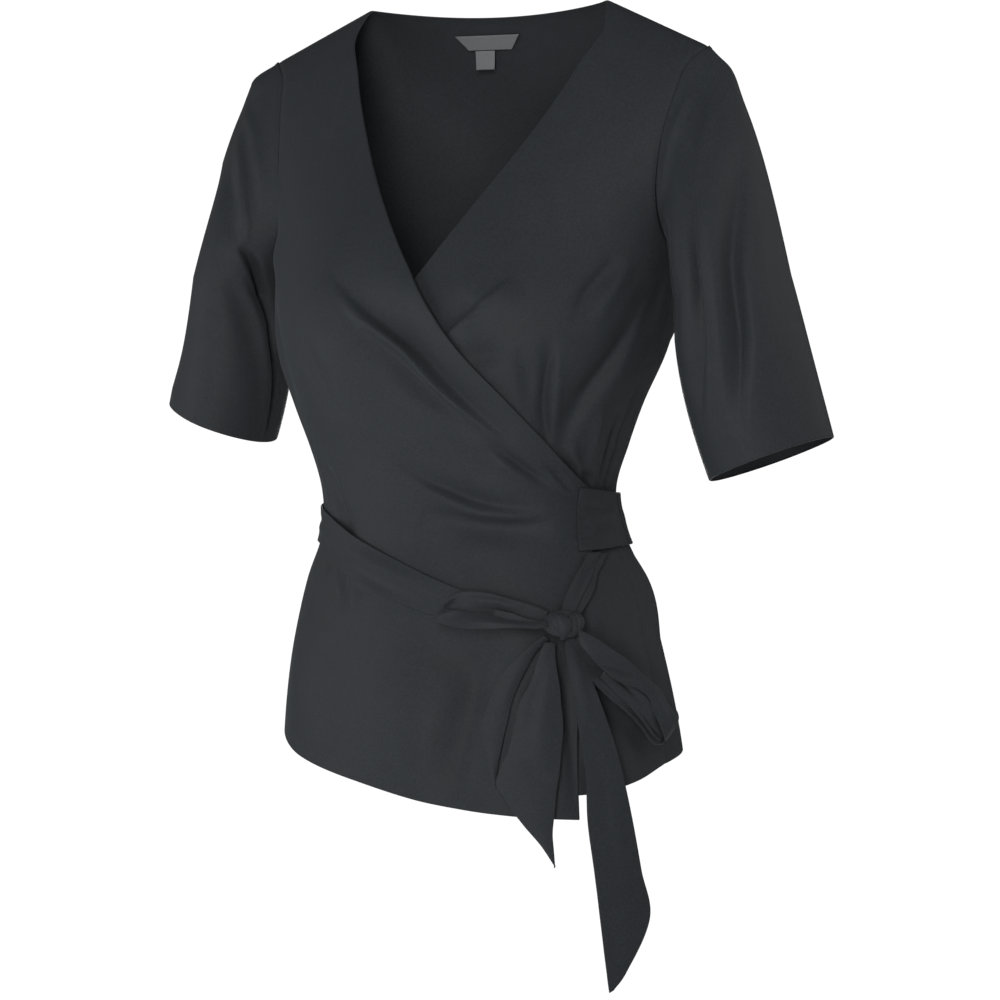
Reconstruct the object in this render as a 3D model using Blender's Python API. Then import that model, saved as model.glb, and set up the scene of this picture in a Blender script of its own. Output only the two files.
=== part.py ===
"""A wrap top with elbow sleeves and a self tie belt, as it stands when it is worn.

Metres, +Z up. The front faces -Y and the wearer's left is +X. The origin is midway between the two
neck points, where the shoulder seams meet the neck. Every piece is a thin wall laid on one body form:
a place on the form is an angle round it (0 at centre front, 90 at the wearer's left side, 180 at centre
back), a depth below the neck points, and a distance out from the form.
"""

import bmesh
import bpy
import numpy as np
from mathutils import Matrix

# Driving sizes
WALL = 0.0012  # cloth thickness
LABEL_WALL = 0.0005
SEAM = 0.0003  # gap where two pieces are sewn together
NECK = 0.098  # centre to neck point
SHOULDER = 0.178  # centre to shoulder point
SHOULDER_DROP = 0.036  # neck point to shoulder point, downwards
SHOULDER_SEAM = 0.0009  # each panel's distance from the shoulder line
SLEEVE_SEAM = 0.0013  # how far out from the armhole edge the sleeve starts
BACK_NECK_DROP = 0.0075
ARMPIT = 0.185  # depth of the armhole below the neck points
WAIST = 0.355
BODICE_OUT = 0.001  # how far each layer lies out from the form
OVERLAP_OUT = 0.0045
OVERLAP_START, OVERLAP_FULL = 90.0, 66.0  # angles at the right side between which the upper front lifts
UNDER_REACH = -58.0  # angle as far as which the left front runs on under the right
ROUNDNESS = 2.2  # exponent of a ring's outline, where 2 is an ellipse
FRONT_DOME, BACK_DOME = 1.25, 1.7  # how fully the chest and back round over into the shoulder
ROWS_UP, ROWS_DOWN = 11, 16  # rows of a panel above and below the armpit
WAIST_ROWS = 0.3  # how much closer together the rows are at the waist
HEM_ROW = 0.555  # depth of the last row before it is stretched to the hem

# Rings of the body form: depth, half width, distance ahead of and behind the shoulder line
FORM_RINGS = (
    (0.000, 0.216, 0.090, 0.088),
    (0.060, 0.196, 0.093, 0.092),
    (0.120, 0.173, 0.098, 0.092),
    (0.185, 0.154, 0.106, 0.088),
    (0.215, 0.153, 0.113, 0.083),
    (0.250, 0.146, 0.117, 0.074),
    (0.290, 0.129, 0.116, 0.064),
    (0.320, 0.118, 0.112, 0.060),
    (0.355, 0.108, 0.108, 0.056),
    (0.385, 0.111, 0.105, 0.066),
    (0.420, 0.124, 0.112, 0.082),
    (0.460, 0.133, 0.120, 0.094),
    (0.510, 0.142, 0.126, 0.108),
    (0.550, 0.147, 0.128, 0.118),
    (0.600, 0.151, 0.130, 0.124),
    (0.780, 0.155, 0.134, 0.128),
)
# Under each arm the cloth spreads to meet the sleeve, further on the right
UNDERARM = {"depth": 0.182, "high": 0.018, "right": 0.012, "left": 0.004, "sharp": 12}
BUST = {"across": 0.080, "depth": 0.240, "wide": 0.055, "high": 0.060, "out": 0.012}

# Armhole edge: depth, distance from the centre
ARMHOLE = (
    (0.000, 0.178),
    (0.016, 0.169),
    (0.050, 0.162),
    (0.090, 0.157),
    (0.122, 0.155),
    (0.185, 0.154),
)

# Wrap edge of each front: depth, distance past the centre. The left front's is its mirror image
WRAP_EDGE = (
    (0.000, -0.097),
    (0.014, -0.102),
    (0.050, -0.090),
    (0.100, -0.066),
    (0.150, -0.035),
    (0.200, 0.000),
    (0.245, 0.036),
    (0.285, 0.071),
    (0.323, 0.095),
    (0.349, 0.105),
    (0.400, 0.107),
    (0.460, 0.111),
    (0.600, 0.119),
)

# Hems: angle, depth. The upper front hangs lower towards its edge
UPPER_HEM = (
    (-90, 0.524),
    (-64, 0.533),
    (-42, 0.546),
    (-15, 0.560),
    (10, 0.572),
    (33, 0.580),
    (60, 0.585),
)
LOWER_HEM = (
    (-90, 0.516),
    (-51, 0.526),
    (0, 0.551),
    (30, 0.563),
    (51, 0.567),
    (76, 0.555),
    (90, 0.542),
    (135, 0.555),
    (180, 0.562),
    (225, 0.550),
    (270, 0.524),
)

# Largest folds: first end's angle and depth, second end's angle and depth, half width, height
UPPER_FOLDS = (
    (-22, 0.217, 40, 0.322, 0.009, 0.0035),
    (0, 0.330, 50, 0.356, 0.010, 0.0030),
    (-48, 0.300, -40, 0.350, 0.014, 0.0020),
    (-72, 0.210, -68, 0.275, 0.010, 0.0040),
)
LOWER_FOLDS = (
    (56, 0.255, 58, 0.308, 0.006, 0.0030),
    (76, 0.255, 74, 0.335, 0.009, 0.0035),
)
ARC = 0.115  # radius that turns an angle into a distance when a fold is measured

# Sleeves: hem centre sideways and down, arm's lean from the vertical, length of the straight part,
# slope at which the cap leaves the shoulder point, how strongly it keeps to that slope and then to the
# arm's, and what the top of the straight part adds: how far the underarm is pinched in, how much deeper
# fore and aft the sleeve is, and how far its centre lies ahead
SLEEVES = {
    "sleeve_right": {
        "side": -1, "across": 0.228, "down": 0.306, "lean": 16.2, "length": 0.105,
        "cap": 32, "keep": (1.0, 1.0), "pinch": 0.010, "deep": 0.0, "ahead": 0.0,
    },
    "sleeve_left": {
        "side": 1, "across": 0.228, "down": 0.330, "lean": 14.2, "length": 0.125,
        "cap": 44, "keep": (0.75, 1.5), "pinch": 0.006, "deep": 0.004, "ahead": 0.013,
    },
}
HEM_TILT = 6.0  # the sleeve hem rises towards the outer arm
# Sleeve rings: share of the straight part left below, half width sideways, half width fore and aft
SLEEVE_RINGS = (
    (0.0, 0.0415, 0.0470),
    (0.5, 0.0435, 0.0500),
    (1.0, 0.0450, 0.0540),
)
UNDERARM_SLOPE = np.radians(50)  # slope at which the sleeve leaves the armpit
CAP_ROWS, ARM_ROWS = 7, 6

# Ribbons: one edge's angle, depth and distance out, then the other edge's
WAIST_TAB = (
    (64, 0.3970, 0.0080, 70, 0.3490, 0.0080),
    (74, 0.3965, 0.0074, 79, 0.3505, 0.0072),
    (86, 0.3950, 0.0054, 89, 0.3530, 0.0054),
    (99.5, 0.3940, 0.0038, 99.5, 0.3550, 0.0038),
)
BELT_BACK = (
    (100.2, 0.3940, 0.0038, 100.2, 0.3550, 0.0038),
    (180.0, 0.3950, 0.0038, 180.0, 0.3580, 0.0038),
    (269.5, 0.3910, 0.0038, 269.5, 0.3620, 0.0038),
)
BELT_FRONT = (
    (-90, 0.3910, 0.0038, -90, 0.3620, 0.0038),
    (-70, 0.3930, 0.0064, -69, 0.3650, 0.0064),
    (-50, 0.3970, 0.0070, -48, 0.3710, 0.0070),
    (-26, 0.4160, 0.0070, -26, 0.3880, 0.0070),
    (-8, 0.4300, 0.0070, -8, 0.4020, 0.0070),
    (8, 0.4410, 0.0070, 10, 0.4170, 0.0070),
    (27, 0.4490, 0.0070, 28, 0.4300, 0.0070),
    (43, 0.4500, 0.0070, 44, 0.4400, 0.0070),
)
TIE_SHORT = (
    (66, 0.3990, 0.0072, 78, 0.3990, 0.0064),
    (60, 0.4100, 0.0074, 70, 0.4120, 0.0070),
    (53, 0.4220, 0.0076, 62, 0.4260, 0.0074),
    (48, 0.4310, 0.0078, 56, 0.4330, 0.0078),
)
BOW_LOOP_RIGHT = (
    (44, 0.4500, 0.0085, 44, 0.4395, 0.0085),
    (34, 0.4515, 0.0085, 34, 0.4325, 0.0085),
    (24, 0.4525, 0.0090, 24, 0.4270, 0.0090),
    (13, 0.4500, 0.0110, 15, 0.4300, 0.0110),
    (9, 0.4465, 0.0150, 12, 0.4335, 0.0150),
    (12, 0.4490, 0.0190, 15, 0.4330, 0.0190),
    (22, 0.4525, 0.0200, 24, 0.4310, 0.0200),
    (34, 0.4525, 0.0185, 34, 0.4345, 0.0185),
    (44, 0.4510, 0.0150, 44, 0.4400, 0.0150),
)
BOW_LOOP_LEFT = (
    (56, 0.4510, 0.0090, 56, 0.4600, 0.0090),
    (66, 0.4640, 0.0090, 63, 0.4800, 0.0090),
    (77, 0.4790, 0.0095, 72, 0.5030, 0.0095),
    (85, 0.4950, 0.0110, 79, 0.5240, 0.0110),
    (90, 0.5140, 0.0155, 83, 0.5330, 0.0155),
    (88, 0.5030, 0.0205, 82, 0.5170, 0.0205),
    (80, 0.4820, 0.0210, 74, 0.4960, 0.0210),
    (69, 0.4640, 0.0195, 65, 0.4800, 0.0195),
    (59, 0.4520, 0.0160, 57, 0.4640, 0.0160),
)
TAIL_RIGHT = (
    (43, 0.4590, 0.0085, 48, 0.4590, 0.0090),
    (34, 0.4740, 0.0090, 48, 0.4800, 0.0110),
    (28, 0.4960, 0.0095, 48, 0.5000, 0.0110),
    (24, 0.5200, 0.0095, 48, 0.5200, 0.0110),
    (26, 0.5400, 0.0095, 47, 0.5450, 0.0110),
    (30, 0.5670, 0.0095, 45, 0.5700, 0.0105),
    (36, 0.5900, 0.0095, 44, 0.5950, 0.0105),
    (43, 0.6150, 0.0100, 44, 0.6170, 0.0105),
)
TAIL_LEFT = (
    (50, 0.4600, 0.0090, 55, 0.4600, 0.0090),
    (51, 0.4800, 0.0100, 59, 0.4800, 0.0100),
    (52, 0.5080, 0.0100, 62, 0.5080, 0.0100),
    (53, 0.5400, 0.0100, 65, 0.5400, 0.0100),
    (53, 0.5800, 0.0100, 67, 0.5800, 0.0100),
    (54, 0.6200, 0.0100, 68, 0.6200, 0.0100),
    (56, 0.6600, 0.0100, 70, 0.6560, 0.0100),
    (59, 0.7060, 0.0100, 60, 0.7020, 0.0100),
)
KNOT = {"angle": 50.5, "depth": 0.4465, "out": 0.0155, "half": (0.0095, 0.0072, 0.0115)}

# Labels inside the back neck: top and bottom depth, and at the top and at the bottom the centre
# sideways, the half width and how far the label hangs clear of the back
NECK_LABEL = {"depth": (0.018, 0.028), "across": (-0.016, -0.018), "wide": (0.0265, 0.0180), "hang": (0.0012, 0.0012)}
SIZE_TAG = {"depth": (0.0285, 0.0395), "across": (-0.0225, -0.0245), "wide": (0.0080, 0.0075), "hang": (0.0012, 0.0060)}


def read_rows(rows, at):
    """The other columns of a table at the key `at`, on a smooth curve through its rows."""
    table = np.array(rows, float)
    key, values = table[:, 0], table[:, 1:]
    slopes = np.gradient(values, key, axis=0)
    at = np.clip(np.asarray(at, float), key[0], key[-1])
    low = np.clip(np.searchsorted(key, at) - 1, 0, len(key) - 2)
    span = (key[low + 1] - key[low])[..., None]
    part = (at - key[low])[..., None] / span
    return (
        values[low] * (1 + 2 * part) * (1 - part) ** 2
        + values[low + 1] * (3 - 2 * part) * part**2
        + slopes[low] * span * part * (1 - part) ** 2
        - slopes[low + 1] * span * (1 - part) * part**2
    )


def read_one(rows, at):
    return read_rows(rows, at)[..., 0]


def ramp(value, start, end):
    """0 before start, 1 after end, and a smooth rise between them."""
    part = np.clip((value - start) / (end - start), 0, 1)
    return part * part * (3 - 2 * part)


def angle_at(x, depth):
    """The angle round the front, in degrees, of a point x metres to the wearer's left of the centre."""
    return np.degrees(np.arcsin(np.clip(x / read_one(FORM_RINGS, depth), -1, 1)))


def form_point(angle, depth):
    """A point of the body form. Above the armpits it rounds over to the shoulder line, as a dome does."""
    turn = np.radians(angle)
    wide, ahead, behind = np.moveaxis(read_rows(FORM_RINGS, depth), -1, 0)
    spread = np.exp(-(((depth - UNDERARM["depth"]) / UNDERARM["high"]) ** 2))
    spread = spread * np.where(np.sin(turn) < 0, UNDERARM["right"], UNDERARM["left"])
    spread = spread * np.abs(np.sin(turn)) ** UNDERARM["sharp"]
    x = wide * np.sin(turn) + spread * np.sign(np.sin(turn))
    rise = np.clip(1 - depth / ARMPIT, 0, 1)
    in_front = np.cos(turn) > 0
    dome = np.where(in_front, FRONT_DOME, BACK_DOME)
    full = (1 - rise**dome) ** (1 / dome)
    flat = (1 - np.abs(np.sin(turn)) ** ROUNDNESS) ** (1 / ROUNDNESS)
    facing = np.where(in_front, -1, 1)
    y = full * ((behind - ahead) / 2 + (behind + ahead) / 2 * facing * flat)
    y = y + facing * SHOULDER_SEAM * ramp(rise, 0, 1)
    shoulder = SHOULDER_DROP * np.clip((np.abs(x) - NECK) / (SHOULDER - NECK), 0, None)
    z = -depth - shoulder * rise
    from_tip = ((np.abs(x) - BUST["across"]) / BUST["wide"]) ** 2 + ((z + BUST["depth"]) / BUST["high"]) ** 2
    y = y - np.where(in_front, BUST["out"] * np.exp(-from_tip) * flat, 0)
    return np.stack([x, y, z], -1)


def place(angle, depth, out):
    """Points a distance `out` from the body form, along its normal."""
    angle, depth, out = np.broadcast_arrays(*(np.asarray(v, float) for v in (angle, depth, out)))
    turn_step, depth_step, least_depth = 1.5, 0.002, 0.004
    near = np.maximum(depth, least_depth)
    round_it = form_point(angle + turn_step, near) - form_point(angle - turn_step, near)
    down = form_point(angle, near + depth_step) - form_point(angle, near - depth_step)
    normal = np.cross(down, round_it)
    normal /= np.linalg.norm(normal, axis=-1, keepdims=True)
    return form_point(angle, depth) + normal * out[..., None]


def fold_height(folds, angle, depth):
    """Height of the folds: each is a bell across a line and fades out towards the line's ends."""
    here = np.stack(np.broadcast_arrays(np.radians(angle) * ARC, depth), -1)
    height = np.zeros(here.shape[:-1])
    for first_angle, first_depth, second_angle, second_depth, half_width, out in folds:
        first = np.array([np.radians(first_angle) * ARC, first_depth])
        along = np.array([np.radians(second_angle) * ARC, second_depth]) - first
        share = np.clip((here - first) @ along / (along @ along), 0, 1)
        away = np.linalg.norm(here - first - share[..., None] * along, axis=-1)
        height += out * np.exp(-((away / half_width) ** 2)) * np.sin(np.pi * share) ** 0.5
    return height


def material(name, colour, roughness):
    made = bpy.data.materials.new(name)
    made.use_nodes = True
    shader = made.node_tree.nodes["Principled BSDF"]
    shader.inputs["Base Color"].default_value = (*colour, 1)
    shader.inputs["Roughness"].default_value = roughness
    shader.inputs["Metallic"].default_value = 0
    return made


def link(name, mesh, finish):
    mesh.materials.append(finish)
    mesh.shade_smooth()
    piece = bpy.data.objects.new(name, mesh)
    bpy.context.scene.collection.objects.link(piece)
    return piece


def cloth(name, points, finish, tube=False, wall=WALL, slanting=False):
    """A wall on a grid of points. Its outer side is where (down the rows) x (along a row) points.

    A slanting grid's columns lean far to the side, so its faces are divided along the other diagonal.
    """
    rows, columns = points.shape[:2]
    index = np.arange(rows * columns).reshape(rows, columns)
    if tube:
        index = np.concatenate([index, index[:, :1]], axis=1)
    corners = (index[:-1, :-1], index[1:, :-1], index[1:, 1:], index[:-1, 1:])
    if slanting:
        corners = corners[1:] + corners[:1]
    faces = np.stack([corner.ravel() for corner in corners], 1)
    mesh = bpy.data.meshes.new(name)
    mesh.from_pydata(points.reshape(-1, 3).tolist(), [], faces.tolist())
    solid = link(name, mesh, finish).modifiers.new("Wall", "SOLIDIFY")
    solid.thickness = wall
    solid.offset = -1


def rows_above_armpit(dome):
    """Depths from the shoulder line to the armpit, at equal turns round the dome."""
    turn = np.linspace(0, np.pi / 2, ROWS_UP)
    return ARMPIT * (1 - np.cos(turn) ** (2 / dome))


def panel_rows(dome):
    """Depths of a panel's rows. Those below the waist are stretched to the hem afterwards."""
    share = np.linspace(0, 1, ROWS_DOWN)[1:]
    share = share + WAIST_ROWS * np.sin(2 * np.pi * share) / (2 * np.pi)
    return np.concatenate([rows_above_armpit(dome), ARMPIT + (HEM_ROW - ARMPIT) * share])[:, None]


def to_hem(hem, angle, depth):
    """Stretches the depths below the waist so that the last row follows the hem."""
    share = np.clip((depth - WAIST) / (HEM_ROW - WAIST), 0, None)
    return np.where(depth > WAIST, WAIST + share * (read_one(hem, angle) - WAIST), depth)


def armhole_angle(depth):
    """Angle of the armhole edge from the centre, and 90 degrees from the armpit down."""
    x = read_one(ARMHOLE, depth)
    return np.where(depth < ARMPIT, angle_at(x, np.minimum(depth, ARMPIT)), 90.0)


def side_edge(depth):
    """The armhole edge and then the side seam, half a seam short of it."""
    return armhole_angle(depth) - np.degrees(SEAM / 2 / ARC)


def front_right(finish, columns=17):
    depth = panel_rows(FRONT_DOME)
    side = side_edge(depth)
    wrap = angle_at(read_one(WRAP_EDGE, depth), depth)
    angle = -side + (wrap + side) * np.linspace(0, 1, columns)
    depth = to_hem(UPPER_HEM, angle, depth + 0 * angle)
    lift = ramp(angle, -OVERLAP_START, -OVERLAP_FULL) * ramp(depth, ARMPIT / 2, ARMPIT)
    out = BODICE_OUT + (OVERLAP_OUT - BODICE_OUT) * lift + fold_height(UPPER_FOLDS, angle, depth)
    cloth("front_right", place(angle, depth, out), finish, slanting=True)


def front_left(finish, columns=17):
    depth = panel_rows(FRONT_DOME)
    side = side_edge(depth)
    wrap = np.maximum(-angle_at(read_one(WRAP_EDGE, depth), depth), UNDER_REACH)
    angle = wrap + (side - wrap) * np.linspace(0, 1, columns)
    depth = to_hem(LOWER_HEM, angle, depth + 0 * angle)
    out = BODICE_OUT + fold_height(LOWER_FOLDS, angle, depth)
    cloth("front_left", place(angle, depth, out), finish)


def back(finish, columns=17):
    depth = panel_rows(BACK_DOME)
    angle = 180 + side_edge(depth) * np.linspace(-1, 1, columns)
    x = form_point(angle, depth)[..., 0]
    neck = BACK_NECK_DROP * np.clip(1 - (x / NECK) ** 2, 0, None)
    depth = to_hem(LOWER_HEM, angle, depth + neck * np.clip(1 - depth / ARMPIT, 0, 1))
    cloth("back", place(angle, depth, BODICE_OUT), finish)


def armhole_ring(side):
    """Points down an armhole's front edge from the shoulder and up its back edge, mirrored to the left."""
    front_depth, back_depth = rows_above_armpit(FRONT_DOME), rows_above_armpit(BACK_DOME)
    front = place(side * armhole_angle(front_depth), front_depth, BODICE_OUT)
    rear = place(side * (180 - armhole_angle(back_depth)), back_depth, BODICE_OUT)
    front[0] = (front[0] + rear[0]) / 2
    front[-1] = (front[-1] + rear[-1]) / 2
    return np.concatenate([front, rear[-2:0:-1]]) * np.array([side, 1, 1])


def sleeve(name, finish):
    """A sleeve: a cap that leaves the armhole and turns smoothly into a straight tube down the arm."""
    size = SLEEVES[name]
    lean = np.radians(size["lean"])
    axis = np.array([np.sin(lean), 0, -np.cos(lean)])
    outward = np.array([np.cos(lean), 0, np.sin(lean)])
    forward = np.array([0, -1.0, 0])
    hem_centre = np.array([size["across"], 0, -size["down"]])
    start = armhole_ring(size["side"]) + np.array([SLEEVE_SEAM, 0, 0])
    turn = np.linspace(0, 2 * np.pi, len(start), endpoint=False)[:, None]

    def ring(left):
        across, fore = read_rows(SLEEVE_RINGS, left)
        bulge = np.sin(left * np.pi / 2)
        fore = fore + size["deep"] * bulge
        pinch = size["pinch"] * left**2
        slant = np.tan(np.radians(HEM_TILT)) * across * np.cos(turn) * (1 - left)
        centre = hem_centre - axis * size["length"] * left + outward * pinch + forward * size["ahead"] * bulge
        sideways = (across - pinch) * np.cos(turn) * outward
        return centre + sideways + fore * np.sin(turn) * forward - slant * axis

    first = ring(1.0)
    reach = np.linalg.norm(first - start, axis=1, keepdims=True)
    slope = np.radians(size["cap"])
    cap = np.array([np.cos(slope), 0, -np.sin(slope)])
    under = np.array([np.cos(UNDERARM_SLOPE), 0, -np.sin(UNDERARM_SLOPE)])
    leave = under + (cap - under) * (1 + np.cos(turn)) / 2
    leave = leave / np.linalg.norm(leave, axis=1, keepdims=True) * reach * size["keep"][0]
    arrive = axis * reach * size["keep"][1]
    rows = []
    for u in np.linspace(0, 1, CAP_ROWS):
        rows.append(
            start * (1 + 2 * u) * (1 - u) ** 2
            + first * (3 - 2 * u) * u**2
            + leave * u * (1 - u) ** 2
            - arrive * (1 - u) * u**2
        )
    rows += [ring(left) for left in np.linspace(1, 0, ARM_ROWS)[1:]]
    points = np.array(rows)
    if size["side"] > 0:
        points = points[:, ::-1]
    else:
        points = points * np.array([-1.0, 1, 1])
    cloth(name, points, finish, tube=True)


def ribbon(name, rows, finish, steps=20, columns=5):
    """A ribbon between two edges, each a smooth curve through the table's places on the form."""
    table = np.array(rows, float)
    keyed = np.column_stack([np.linspace(0, 1, len(table)), table])
    edges = read_rows(keyed, np.linspace(0, 1, steps))
    first, second = edges[:, None, :3], edges[:, None, 3:]
    spots = first + (second - first) * np.linspace(0, 1, columns)[None, :, None]
    cloth(name, place(spots[..., 0], spots[..., 1], spots[..., 2]), finish)


def knot(finish, around=14, rings=9):
    """The knot: a ball squashed to the knot's half sizes, its depth along the form's normal."""
    centre = place(KNOT["angle"], KNOT["depth"], KNOT["out"])
    outward = centre - place(KNOT["angle"], KNOT["depth"], 0)
    outward /= np.linalg.norm(outward)
    across = np.cross(outward, [0, 0, -1.0])
    across /= np.linalg.norm(across)
    up = np.cross(across, -outward)
    frame = Matrix.Identity(4)
    for column, (direction, half) in enumerate(zip((across, outward, up), KNOT["half"])):
        for row in range(3):
            frame[row][column] = direction[row] * half
    for row in range(3):
        frame[row][3] = centre[row]
    ball = bmesh.new()
    bmesh.ops.create_uvsphere(ball, u_segments=around, v_segments=rings, radius=1, matrix=frame)
    bmesh.ops.recalc_face_normals(ball, faces=ball.faces)
    mesh = bpy.data.meshes.new("knot")
    ball.to_mesh(mesh)
    ball.free()
    link("knot", mesh, finish)


def label(name, size, finish, columns=5, rows=3):
    """A label lying inside the back, its face towards the neck."""
    depth, across, half, hang = (
        np.linspace(*size[column], rows)[:, None] for column in ("depth", "across", "wide", "hang")
    )
    x = across + half * np.linspace(1, -1, columns)
    inner = BODICE_OUT - WALL - hang - LABEL_WALL
    points = place(180 - angle_at(x, depth), depth, inner)
    cloth(name, points[:, ::-1], finish, wall=LABEL_WALL)


def main():
    for old in list(bpy.data.objects):
        bpy.data.objects.remove(old)
    crepe = material("crepe", (0.028, 0.031, 0.033), 0.62)
    woven_label = material("woven_label", (0.085, 0.09, 0.095), 0.7)
    front_right(crepe)
    front_left(crepe)
    back(crepe)
    for name in SLEEVES:
        sleeve(name, crepe)
    ribbon("waist_tab", WAIST_TAB, crepe, steps=10)
    ribbon("belt_back", BELT_BACK, crepe, steps=22, columns=3)
    ribbon("belt_front", BELT_FRONT, crepe, steps=26, columns=4)
    ribbon("tie_short", TIE_SHORT, crepe, steps=8, columns=4)
    ribbon("bow_loop_right", BOW_LOOP_RIGHT, crepe, steps=24, columns=4)
    ribbon("bow_loop_left", BOW_LOOP_LEFT, crepe, steps=24, columns=4)
    ribbon("tail_right", TAIL_RIGHT, crepe, steps=16, columns=5)
    ribbon("tail_left", TAIL_LEFT, crepe, steps=16, columns=5)
    knot(crepe)
    label("neck_label", NECK_LABEL, woven_label)
    label("size_tag", SIZE_TAG, woven_label)


main()
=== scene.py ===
import math

import bpy
import numpy as np
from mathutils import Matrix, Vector


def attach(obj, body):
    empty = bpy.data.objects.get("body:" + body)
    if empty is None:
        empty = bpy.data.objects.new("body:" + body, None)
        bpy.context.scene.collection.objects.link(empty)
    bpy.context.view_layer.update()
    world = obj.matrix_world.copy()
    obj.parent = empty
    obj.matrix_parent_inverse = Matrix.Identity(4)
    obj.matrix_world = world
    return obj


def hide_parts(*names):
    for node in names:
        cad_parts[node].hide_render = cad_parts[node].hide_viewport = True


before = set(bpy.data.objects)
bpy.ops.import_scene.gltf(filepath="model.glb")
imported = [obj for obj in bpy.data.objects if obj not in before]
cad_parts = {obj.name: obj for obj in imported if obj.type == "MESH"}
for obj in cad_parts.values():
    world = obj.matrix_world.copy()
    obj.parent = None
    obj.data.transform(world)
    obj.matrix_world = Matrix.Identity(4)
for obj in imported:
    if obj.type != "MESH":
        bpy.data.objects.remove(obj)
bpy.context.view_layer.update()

print("frame loaded")

# Metres, +Z up, the front faces -Y and the wearer's left is +X, the origin between the two neck points.
# A place on the body form is an angle round it (0 centre front, 90 the wearer's left side, 180 centre
# back), a depth below the neck points and a distance out from the form.


# Numbers read off smooth curves

def readRows(rows, at):
    # the other columns of a table at key "at": cubic pieces whose slopes are the rows' mean slopes
    table = np.array(rows, float)
    key, values = table[:, 0], table[:, 1:]
    slopes = np.gradient(values, key, axis=0)
    at = np.clip(np.asarray(at, float), key[0], key[-1])
    low = np.clip(np.searchsorted(key, at) - 1, 0, len(key) - 2)
    span = (key[low + 1] - key[low])[..., None]
    part = (at - key[low])[..., None] / span
    return (values[low] * (1 + 2 * part) * (1 - part) ** 2 + values[low + 1] * (3 - 2 * part) * part**2
            + slopes[low] * span * part * (1 - part) ** 2 - slopes[low + 1] * span * (1 - part) * part**2)


def readOne(rows, at):  # the same, of a table with one column past its key, or the first of them
    return readRows(rows, at)[..., 0]


def ramp(value, start, end):  # 0 before start, 1 after end, an S curve between
    part = np.clip((value - start) / (end - start), 0, 1)
    return part * part * (3 - 2 * part)


def bell(value):  # 1 at 0, and e to the power of minus the square on either side
    return np.exp(-(value**2))


rolledEdge = {"panel": 0.0011, "tie": 0.0007, "extraRows": (0.0004, 0.0009, 0.0016)}  # radii, and metres in


def edgeRoll(distance, radius=rolledEdge["panel"]):  # a quarter circle that turns an edge's last bit inwards
    return -radius * (1 - np.sqrt(1 - (1 - np.clip(distance / radius, 0, 1)) ** 2))


def finerEnds(count, length, first=True, last=True):
    # even shares from 0 to 1, with a few more where the edges of so long a stretch roll in
    close = np.array(rolledEdge["extraRows"]) / length
    share = np.linspace(0, 1, count)
    return np.unique(np.concatenate([share, close if first else [], 1 - close if last else []]))


# Body form

form = {
    "neck": 0.098, "shoulder": 0.178, "shoulderDrop": 0.036, "shoulderSeam": 0.0001,
    "armpit": 0.185, "soft": 0.10, "waist": 0.355, "hemRow": 0.555,
    "roundness": 2.2, "frontDome": 1.25, "backDome": 1.7,
    "arc": 0.115,  # the radius at which degrees round the form are measured as metres
    "rings": (  # depth, half width, distance ahead of and behind the shoulder line
        (0.000, 0.216, 0.090, 0.088), (0.060, 0.196, 0.093, 0.092), (0.120, 0.173, 0.098, 0.092),
        (0.185, 0.154, 0.106, 0.088), (0.215, 0.153, 0.113, 0.083), (0.250, 0.146, 0.117, 0.074),
        (0.290, 0.129, 0.116, 0.064), (0.320, 0.118, 0.112, 0.060), (0.355, 0.108, 0.108, 0.056),
        (0.385, 0.111, 0.105, 0.066), (0.420, 0.124, 0.112, 0.082), (0.460, 0.133, 0.120, 0.094),
        (0.510, 0.142, 0.126, 0.108), (0.550, 0.147, 0.128, 0.118), (0.600, 0.151, 0.130, 0.124),
        (0.780, 0.155, 0.134, 0.128)),
    "underarm": {"depth": 0.182, "high": 0.018, "right": 0.012, "left": 0.004, "sharp": 12},
    "bust": {"across": 0.080, "depth": 0.240, "wide": 0.055, "high": 0.060, "out": 0.012},
    "feel": {"angle": 1.5, "depth": 0.002, "highest": 0.004},  # how far apart its slopes are taken
}
formUnits = np.array([math.radians(1) * form["arc"], 0.001])  # creases give degrees and millimetres


def angleAt(x, depth):  # arc sine of x over the ring's half width
    return np.degrees(np.arcsin(np.clip(x / readOne(form["rings"], depth), -1, 1)))


def formPoint(angle, depth):
    # a superellipse ring, which a power curve domes in to the shoulder line above the armpits, plus two
    # bells for the bust and a spread towards each underarm
    turn = np.radians(angle)
    wide, ahead, behind = np.moveaxis(readRows(form["rings"], depth), -1, 0)
    under = form["underarm"]
    spread = bell((depth - under["depth"]) / under["high"])
    spread = spread * np.where(np.sin(turn) < 0, under["right"], under["left"])
    spread = spread * np.abs(np.sin(turn)) ** under["sharp"]
    x = wide * np.sin(turn) + spread * np.sign(np.sin(turn))
    rise = 1 - depth / form["armpit"]
    rise = np.clip((rise + np.sqrt(rise**2 + form["soft"] ** 2)) / 2, 0, 1)
    inFront = np.cos(turn) > 0
    dome = np.where(inFront, form["frontDome"], form["backDome"])
    full = (1 - rise**dome) ** (1 / dome)
    flat = (1 - np.abs(np.sin(turn)) ** form["roundness"]) ** (1 / form["roundness"])
    facing = np.where(inFront, -1, 1)
    y = full * ((behind - ahead) / 2 + (behind + ahead) / 2 * facing * flat)
    y = y + facing * form["shoulderSeam"] * ramp(rise, 0, 1)
    pastNeck = np.clip((np.abs(x) - form["neck"]) / (form["shoulder"] - form["neck"]), 0, None)
    z = -depth - form["shoulderDrop"] * pastNeck * rise
    bust = form["bust"]
    fromTip = ((np.abs(x) - bust["across"]) / bust["wide"]) ** 2 + ((z + bust["depth"]) / bust["high"]) ** 2
    y = y - np.where(inFront, bust["out"] * np.exp(-fromTip) * flat, 0)
    return np.stack([x, y, z], -1)


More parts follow.
